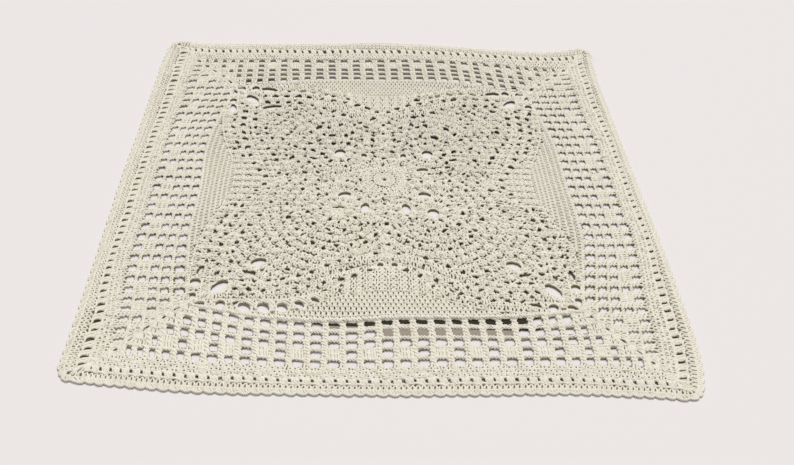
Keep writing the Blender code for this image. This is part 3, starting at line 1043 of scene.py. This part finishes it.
# Filet mesh: five rows of open cells, every other cell of the fourth filled with three stitches
filet = {
    "rows": ["mesh0", "mesh1", "mesh2", "mesh3", "mesh4", "mesh5"],
    "lastHole": [11, 12, 13, 14, 16],
    "filledRow": 3,
    "fillPlaces": (-0.2, 0.0, 0.2),
    "fillWidth": 0.64,  # of a post's
    "holePitch": 0.0405,
    "pitchLoss": 0.0004,
    "postWidth": (0.0165, 0.0225, 0.0180, 0.0225),  # front, right, back, left
    "postLean": 0.0030,
    "rowShift": 0.0014,  # each row lies a little to the right of the one inside it
    "middleRow": 2,
    "twist": {
        "lay": 0.0150,
        "start": 0.4,
        "wide": (0.0034, 0.0036, 0.0034, 0.0036),
        "high": 0.0018,
        "deep": 0.0014,
        "scatter": (0.0004, 0.0003),  # along and aside
    },
    # more strands beside two chains
    "extra": {(0, "mesh0"): (0.0046, -0.0036), (0, "mesh1"): (0.0058, 0.0078)},
    "lift": {(0, "mesh0"): 0.0024},  # and one chain rides up on the band
    "slant": 0.0030,  # at the front each length of chain drops this far from one post to the next
    "raggedness": 0.0007,
    "openHalf": ((0.0132, 0.0096), (0.0112, 0.0096), (0.0125, 0.0078), (0.0112, 0.0096)),
    "lastRise": 0.0030,  # the last row's openings reach further out
    "cornerPast": 0.001,  # the corners' stitches begin this far past the last post
    # side, row, first and last hole where the mesh is pulled tight over itself: the backing there is
    # left whole, in painted shade
    "blindRows": [(0, 0, -3, 8), (0, 1, 0, 7)],
}
openingCorners = [(-1, -0.4), (-0.6, -1), (0.6, -1), (1, -0.4), (1, 0.4), (0.6, 1), (-0.6, 1), (-1, 0.4)]


def holePlace(number):
    return filet["holePitch"] * number * (1 - filet["pitchLoss"] * number**2)


def chainSlant(side, across):
    if side:
        return 0.0
    return filet["slant"] * (0.5 - (across / filet["holePitch"] + 0.5) % 1.0)


# Each chain of the mesh as two strands that twist round each other, with four points to a turn
def filetChains():
    strands = []
    twist = filet["twist"]
    scatterAlong, scatterAside = twist["scatter"]
    for side in range(4):
        for name in filet["rows"][:-1]:
            corner = lineCorner(name)
            deep = twist["deep"] - filet["lift"].get((side, name), 0.0)
            steps = 4 * round(corner / twist["lay"])
            for sign in (-1, 1):
                strand = []
                for step in range(-steps, steps + 1):
                    across = corner * step / steps + rng.gauss(0.0, scatterAlong)
                    angle = math.pi / 2 * step + twist["start"]
                    aside = sign * twist["wide"][side] * math.cos(angle) + rng.gauss(0.0, scatterAside)
                    aside += chainSlant(side, across)
                    depth = deep - sign * twist["high"] * math.sin(angle)
                    strand.append((*linePoint(side, name, across, aside), depth))
                strands.append(strand)
            for aside in filet["extra"].get((side, name), ()):
                strand = []
                for step in range(-steps, steps + 1):
                    across = corner * step / steps
                    ragged = rng.gauss(0.0, filet["raggedness"]) + chainSlant(side, across)
                    x, y = linePoint(side, name, across, aside + ragged)
                    strand.append((x, y, deep + twist["high"]))
                strands.append(strand)
    return strands


def postCell(side, inner, outer, place, width):
    left, right, lean = place - width / 2, place + width / 2, filet["postLean"]
    return (
        linePoint(side, inner, left), linePoint(side, inner, right),
        linePoint(side, outer, left + lean), linePoint(side, outer, right + lean),
    )


def filetPosts():
    strands = []
    for row, last in enumerate(filet["lastHole"]):
        inner, outer = filet["rows"][row], filet["rows"][row + 1]
        places = [(holePlace(number + 0.5), "post") for number in range(-last - 1, last + 1)]
        if row == filet["filledRow"]:
            for number in range(-last, last + 1):
                if number % 2:
                    places += [(holePlace(number + offset), "fill") for offset in filet["fillPlaces"]]
        for side in range(4):
            for place, form in places:
                width = filet["postWidth"][side] * (1.0 if form == "post" else filet["fillWidth"])
                place += filet["rowShift"] * (row - filet["middleRow"]) - filet["postLean"] / 2
                addStitch(strands, postCell(side, inner, outer, place, width), form, looseness=0.0008)
        # the corners are solid, in two rows of short stitches
        solidFrom = holePlace(last + 0.5) + filet["cornerPast"]

        def inCorner(x, y):
            return min(abs(x), abs(y)) > solidFrom

        for shares in ((0.0, 0.5), (0.5, 1.0)):
            addSideRow(strands, (inner, 0.0), (outer, 0.0), ["single"], shares=shares, keep=inCorner)
    return strands


# Outlines of the filet's openings on the chart, for the backing
def filetHoles():
    outlines = []
    blind = set()
    for side, row, first, last in filet["blindRows"]:
        blind.update((side, row, number) for number in range(first, last + 1))
    for side in range(4):
        halfLong, halfHigh = filet["openHalf"][side]
        for row, last in enumerate(filet["lastHole"]):
            inner, outer = filet["rows"][row], filet["rows"][row + 1]
            for number in range(-last, last + 1):
                if row == filet["filledRow"] and number % 2:
                    continue
                if (side, row, number) in blind:
                    continue
                place = holePlace(number) + filet["rowShift"] * (row - filet["middleRow"])
                high = lineReach(outer, place) - lineReach(inner, place)
                outline = []
                for along, up in openingCorners:
                    across = place + halfLong * along + rng.gauss(0.0, filet["raggedness"])
                    share = 0.5 + (halfHigh * up + rng.gauss(0.0, filet["raggedness"])) / high
                    if row == len(filet["lastHole"]) - 1 and up > 0:
                        share += filet["lastRise"] / high
                    start, end = linePoint(side, inner, across), linePoint(side, outer, across)
                    outline.append(tuple(a + (b - a) * share for a, b in zip(start, end)))
                outlines.append(outline)
    return outlines


# Border: three plain rows, a row of slanted pairs with eyelets, one plain row and low scallops
border = {
    "plain": ["mesh5", "border1", "border2", "border3"],
    "forms": ["single", "single", "cluster"],
    "pairPitch": 0.0252,
    "pairLean": 0.010,
    "eyelet": ((0.0074, 0.0044), (0.0060, 0.0034), (0.0066, 0.0034), (0.0056, 0.0030)),
    "eyeletLean": 0.5,
    "eyeletPoints": 8,
    "scallopPitch": 0.0252,
    "scallopLap": 0.001,
    # The slanted pairs leave a wedge where a side begins. Three strands fill it: across, out and depth
    # of each one's points, and how far along each is moved.
    "wedge": ((-0.668, 0.663, 0.0020), (-0.678, 0.676, 0.0), (-0.686, 0.689, 0.0020)),
    "wedgeMoves": (0.000, 0.006, 0.012),
}


def borderStitches():
    strands = []
    for row, (inner, outer) in enumerate(zip(border["plain"], border["plain"][1:])):
        addSideRow(strands, (inner, 0.0), (outer, 0.0), border["forms"], shift=0.5 * (row % 2),
                   looseness=0.0008)
    return strands


# Behind and on the left the cloth is drawn in from its edge, with room for one more row
def tallRim(x, y):
    return y > abs(x) or -x > abs(y)


def rimStitches():
    strands = []
    _, pairPitch = fittedPitch("eyelets", border["pairPitch"])
    addSideRow(strands, ("border3", 0.0), ("eyelets", 0.0), ["pair"], pitch=pairPitch,
               lean=border["pairLean"], looseness=0.0007)
    addSideRow(strands, ("eyelets", 0.0), ("rim", 0.0), ["single"], keep=lambda x, y: not tallRim(x, y))
    for shares in ((0.0, 0.5), (0.5, 1.0)):
        addSideRow(strands, ("eyelets", 0.0), ("rim", 0.0), ["single"], shares=shares, keep=tallRim)
    for side in range(4):
        for move in border["wedgeMoves"]:
            strands.append([
                (*sidePoint(side, move + across, out), depth) for across, out, depth in border["wedge"]
            ])
    _, scallopPitch = fittedPitch("picots", border["scallopPitch"])
    addSideRow(strands, ("rim", border["scallopLap"]), ("picots", 0.0), ["scallop"], pitch=scallopPitch)
    return strands


def eyeletOutlines():
    outlines = []
    pairs, pitch = fittedPitch("eyelets", border["pairPitch"])
    for side in range(4):
        length, width = border["eyelet"][side]
        for number in range(-pairs, pairs):
            place = pitch * (number + 0.5) + border["pairLean"] / 2
            out = (lineReach("border3", place) + lineReach("eyelets", place)) / 2
            outline = []
            for step in range(border["eyeletPoints"]):
                angle = math.radians(360 / border["eyeletPoints"]) * step
                lean = border["eyeletLean"] * length * math.sin(angle)
                across = place + width * math.cos(angle) + lean
                outline.append(sidePoint(side, across, out + length * math.sin(angle)))
            outlines.append(outline)
    return outlines


# Plain band: rows of single crochet that follow the first line of the mesh
band = {"rows": 7, "rowHeight": 0.0123}


def outsideMedallion(x, y):
    big, small = max(abs(x), abs(y)), min(abs(x), abs(y))
    return big > lineReach("edge", small)


def bandStitches():
    strands = []
    for row in range(band["rows"]):
        inner, outer = band["rowHeight"] * (row + 1), band["rowHeight"] * row
        addSideRow(strands, ("mesh0", inner), ("mesh0", outer), ["single"], keep=outsideMedallion,
                   shift=0.5 * (row % 2), looseness=0.0003)
    return strands


def ribColumn(strands, side, middle, tiers, form, **kwargs):
    before, past = ribs["overlap"]
    low = ribStart(middle) - before
    tall = (lineReach("edge", middle) + past - low) / tiers
    for tier in range(tiers):
        cell = []
        for out in (low + tall * tier, low + tall * (tier + 1)):
            for sign in (-1, 1):
                cell.append(sidePoint(side, middle + sign * ribs["width"] / 2, out))
        addStitch(strands, cell, form, **kwargs)


def ribStitches():
    strands = []
    half = (ribs["count"] - 1) / 2
    for side in range(4):
        for number in range(ribs["count"] + 1):
            middle = ribs["pitch"] * (number - half - 0.5)
            ribColumn(strands, side, middle, ribs["lowTiers"], "crossed", sink=ribs["sink"])
        for number in range(ribs["count"]):
            ribColumn(strands, side, ribs["pitch"] * (number - half), ribs["tiers"], "rib")
    return strands


# Medallion: a rosette, four flowers, rounds of stitches about each of them, and rows of shells
medallion = {
    # inner and outer radius of each round, and its stitches
    "rosetteRounds": [(0.004, 0.016, 8), (0.016, 0.0287, 15), (0.0326, 0.046, 21), (0.046, 0.058, 26),
                      (0.058, 0.071, 31), (0.071, 0.084, 37), (0.084, 0.098, 43)],
    "plainRounds": 3,
    "rosetteLooseness": 0.0007,
    "lobeFrom": 0.095,
    "overAxis": 0.005,  # how far a lobe's stitches may pass the axes and the inner line
    "overLine": 0.004,
    "closedEyeFrom": 0.004,
    "closedEyeStitches": 8,
    "roundHeight": 0.0134,
    "rounds": 25,
    "pitch": 0.0118,
    "forms": ["single", "cluster", "crossed"],
    "looseness": 0.0006,
    "tiers": (("inner", "middle", 3), ("middle", "outer", 2), ("outer", "edge", 2)),
}


def rosetteStitches():
    strands = []
    for number, (inner, outer, count) in enumerate(medallion["rosetteRounds"]):
        forms = ["single"] if number < medallion["plainRounds"] else medallion["forms"]
        addRing(strands, (0.0, 0.0), inner, outer, forms, count=count,
                looseness=medallion["rosetteLooseness"])
    return strands


def insideLobe(x, y):
    big, small = max(x, y), min(x, y)
    if small <= -medallion["overAxis"] or math.hypot(x, y) <= medallion["lobeFrom"]:
        return False
    return big < lineReach("inner", small) + medallion["overLine"]


def lobeStitches(signs):
    strands = []
    if signs == closedEye:
        addRing(strands, flower["at"], medallion["closedEyeFrom"], flower["eye"], ["cluster"], signs=signs,
                count=medallion["closedEyeStitches"])
    for number in range(medallion["rounds"]):
        inner = flower["eye"] + medallion["roundHeight"] * number
        outer = inner + medallion["roundHeight"]
        addRing(strands, flower["at"], inner, outer, medallion["forms"], signs=signs, keep=insideLobe,
                count=round(2 * math.pi * outer / medallion["pitch"]), looseness=medallion["looseness"])
    return strands


# Each gap that is open to the floor has one turn of cord low round it
gapRim = {"outwards": 0.0034, "wobble": 0.0005, "depth": 0.0050, "steps": 16}


def gapRims():
    strands = []
    for x, y, length, width, angle, _ in openGaps:
        strand = []
        for step in range(gapRim["steps"] + 1):
            turn = 2 * math.pi * step / gapRim["steps"]
            outwards = gapRim["outwards"] + gapRim["wobble"] * (1 if step % 2 else -1)
            u, v = (length + outwards) * math.cos(turn), (width + outwards) * math.sin(turn)
            strand.append((*gapPoint(x, y, angle, u, v), gapRim["depth"]))
        strands.append(strand)
    return strands


# Two strands side by side along the upper edge of each open arch
def archBars():
    strands = []
    bar = openArches["bar"]
    for x, y, _, width, angle, _ in archPlaces():
        for aside in bar["aside"]:
            strands.append([
                (*gapPoint(x, y, angle, bar["half"] * along, width + aside), depth)
                for along, depth in bar["shape"]
            ])
    return strands


def outsideRibs(x, y):
    return not inRibs(x, y)


def shellStitches():
    strands = []
    for inner, outer, tiers in medallion["tiers"]:
        for tier in range(tiers):
            addSideRow(strands, (inner, 0.0), (outer, 0.0), medallion["forms"], keep=outsideRibs,
                       shares=(tier / tiers, (tier + 1) / tiers), shift=0.5 * (tier % 2),
                       looseness=medallion["looseness"])
    return strands


# The backing, whose colour is painted shade, shades the gaps: its holes are slid to the front, so
# that it shows as a painted dark arc along the far edge of the ones that are open to the floor
ground = {
    "underside": 0.0006,
    "thickness": 0.0036,
    "inwards": 0.009,  # from the cloth's edge
    "rimSteps": 36,  # along a side
    "gapSteps": 10,
    "openMargin": 0.0018,
    "shutMargin": -0.0006,
    # the open gaps' holes are slid this far to the front, so the backing's painted shade lines their far
    # edge
    "slide": 0.0048,
}


# The backing's rim and gaps, on the chart
def groundOutlines():
    half = cloth["halfSide"] - ground["inwards"]
    rim = []
    for side in range(4):
        for step in range(ground["rimSteps"]):
            rim.append(sidePoint(side, half * (2 * step / ground["rimSteps"] - 1), half))
    outlines = [rim] + filetHoles() + eyeletOutlines()
    for x, y, length, width, angle, isOpen in gaps:
        margin = ground["openMargin"] if isOpen else ground["shutMargin"]
        # only the open gaps slide, which leaves a painted dark arc at their far edge
        slide = ground["slide"] if isOpen else 0.0
        outline = []
        for step in range(ground["gapSteps"]):
            turn = 2 * math.pi * step / ground["gapSteps"]
            u, v = (length + margin) * math.cos(turn), (width + margin) * math.sin(turn)
            pointX, pointY = gapPoint(x, y, angle, u, v)
            outline.append((pointX, pointY - slide))
        outlines.append(outline)
    return outlines


# Fills flat outlines, with the inner ones as holes, and gives the sheet its thickness
def makeSheetFill():
    tree = bpy.data.node_groups.new("sheetFill", "GeometryNodeTree")
    tree.interface.new_socket("Outlines", in_out="INPUT", socket_type="NodeSocketGeometry")
    tree.interface.new_socket("Sheet", in_out="OUTPUT", socket_type="NodeSocketGeometry")
    start = addNode(tree, "NodeGroupInput")
    fill = addNode(tree, "GeometryNodeFillCurve", {"Curve": start.outputs[0]}, mode="TRIANGLES")
    addNode(tree, "NodeGroupOutput", {"Sheet": fill.outputs[0]})
    return tree


def makeGround():
    curve = bpy.data.curves.new("clothGroundOutline", "CURVE")
    curve.dimensions = "2D"
    curve.fill_mode = "NONE"
    for outline in groundOutlines():
        spline = curve.splines.new("POLY")
        spline.points.add(len(outline) - 1)
        places = []
        for x, y in outline:
            places += (*layPoint(x, y), 0.0, 1.0)
        spline.points.foreach_set("co", places)
        spline.use_cyclic_u = True
    guide = linked(bpy.data.objects.new("clothGroundGuide", curve))
    guide.modifiers.new("fill", "NODES").node_group = makeSheetFill()
    flat = meshOf(guide, "clothGroundFlat")
    thickness = flat.modifiers.new("thickness", "SOLIDIFY")
    thickness.thickness = ground["thickness"]
    thickness.offset = 1.0
    piece = meshOf(flat, "clothGround")
    for vertex in piece.data.vertices:
        vertex.co.z += ground["underside"] + cornerLift(vertex.co.x, vertex.co.y)
    print("clothGround", len(piece.data.polygons))
    return dressed(piece, shadedBackMaterial)


print("Stitches")
pieces = [
    cordPiece("filetChains", filetChains(), cordMaterial, chainSweep),
    cordPiece("filetPosts", clearGaps(filetPosts()), cordMaterial),
    cordPiece("borderStitches", borderStitches(), cordMaterial),
    cordPiece("rimStitches", rimStitches(), cordMaterial),
    cordPiece("bandStitches", clearGaps(bandStitches()), cordMaterial, plainSweep),
    cordPiece("rosetteStitches", clearGaps(rosetteStitches()), cordMaterial),
    cordPiece("shellStitches", clearGaps(shellStitches()) + archBars(), cordMaterial),
    cordPiece("ribStitches", clearGaps(ribStitches()), cordMaterial),
    cordPiece("gapRims", gapRims(), cordMaterial),
]
lobeSigns = {"FrontRight": (1, -1), "BackRight": (1, 1), "BackLeft": (-1, 1), "FrontLeft": (-1, -1)}
for place, signs in lobeSigns.items():
    sweep = plainSweep if signs[1] > 0 else cordSweep
    pieces.append(cordPiece("lobe" + place, clearGaps(lobeStitches(signs)), cordMaterial, sweep))

print("Backing")
clothGround = makeGround()

# Plain pale floor, matt white
floorLook = {"colour": "#E2DFE1", "roughness": 0.75, "specular": 0.2, "size": 9.0, "drop": 0.0002}


def makeFloor():
    bpy.ops.mesh.primitive_plane_add(size=floorLook["size"], location=(0.0, 0.0, -floorLook["drop"]))
    floor = bpy.context.object
    floor.name = "studioFloor"
    material, tree = newMaterial("matteFloor")
    shader = addNode(tree, "ShaderNodeBsdfPrincipled",
                     {"Base Color": toLinear(floorLook["colour"]), "Roughness": floorLook["roughness"],
                      "Specular IOR Level": floorLook["specular"]})
    addNode(tree, "ShaderNodeOutputMaterial", {"Surface": shader.outputs[0]})
    floor.data.materials.append(material)


makeFloor()

# Soft light from behind and a little to the right, and a bright even surround
light = {
    "azimuth": 12.0,
    "elevation": 60.0,
    "strength": 2.40,
    "spread": 30.0,
    "tint": (1.0, 0.985, 0.96),
    "surround": 0.44,
    "surroundTint": (1.0, 0.967, 0.930, 1.0),
}


def makeLight():
    sun = bpy.data.lights.new("softKey", "SUN")
    sun.energy = light["strength"]
    sun.angle = math.radians(light["spread"])
    sun.color = light["tint"]
    key = linked(bpy.data.objects.new("softKey", sun))
    azimuth, elevation = math.radians(light["azimuth"]), math.radians(light["elevation"])
    level = math.cos(elevation)
    fromWay = Vector((math.sin(azimuth) * level, math.cos(azimuth) * level, math.sin(elevation)))
    key.rotation_euler = fromWay.to_track_quat("Z", "Y").to_euler()
    world = bpy.data.worlds.new("studio")
    world.use_nodes = True
    background = world.node_tree.nodes["Background"]
    background.inputs["Color"].default_value = light["surroundTint"]
    background.inputs["Strength"].default_value = light["surround"]
    bpy.context.scene.world = world


makeLight()

# The photograph's viewpoint, found from the square's four corners
viewpoint = {
    "place": (-0.0331, -1.6796, 1.4247),
    "pitch": 44.20,
    "yaw": 2.666,
    "roll": 3.540,
    "focal": 781.1,  # pixels, on an image 794 wide
    "imageWidth": 794,
}


def makeCamera():
    data = bpy.data.cameras.new("camera")
    data.sensor_width = 36.0
    data.sensor_fit = "HORIZONTAL"
    data.lens = data.sensor_width * viewpoint["focal"] / viewpoint["imageWidth"]
    camera = linked(bpy.data.objects.new("camera", data))
    x, y, z = viewpoint["place"]
    turned = (
        Matrix.Rotation(-math.radians(viewpoint["yaw"]), 4, "Z")
        @ Matrix.Rotation(math.radians(90.0 - viewpoint["pitch"]), 4, "X")
        @ Matrix.Rotation(math.radians(viewpoint["roll"]), 4, "Z")
    )
    camera.matrix_world = Matrix.Translation((x + shiftX, y + shiftY, z)) @ turned
    bpy.context.scene.camera = camera


makeCamera()
bpy.context.scene.view_settings.view_transform = "Standard"
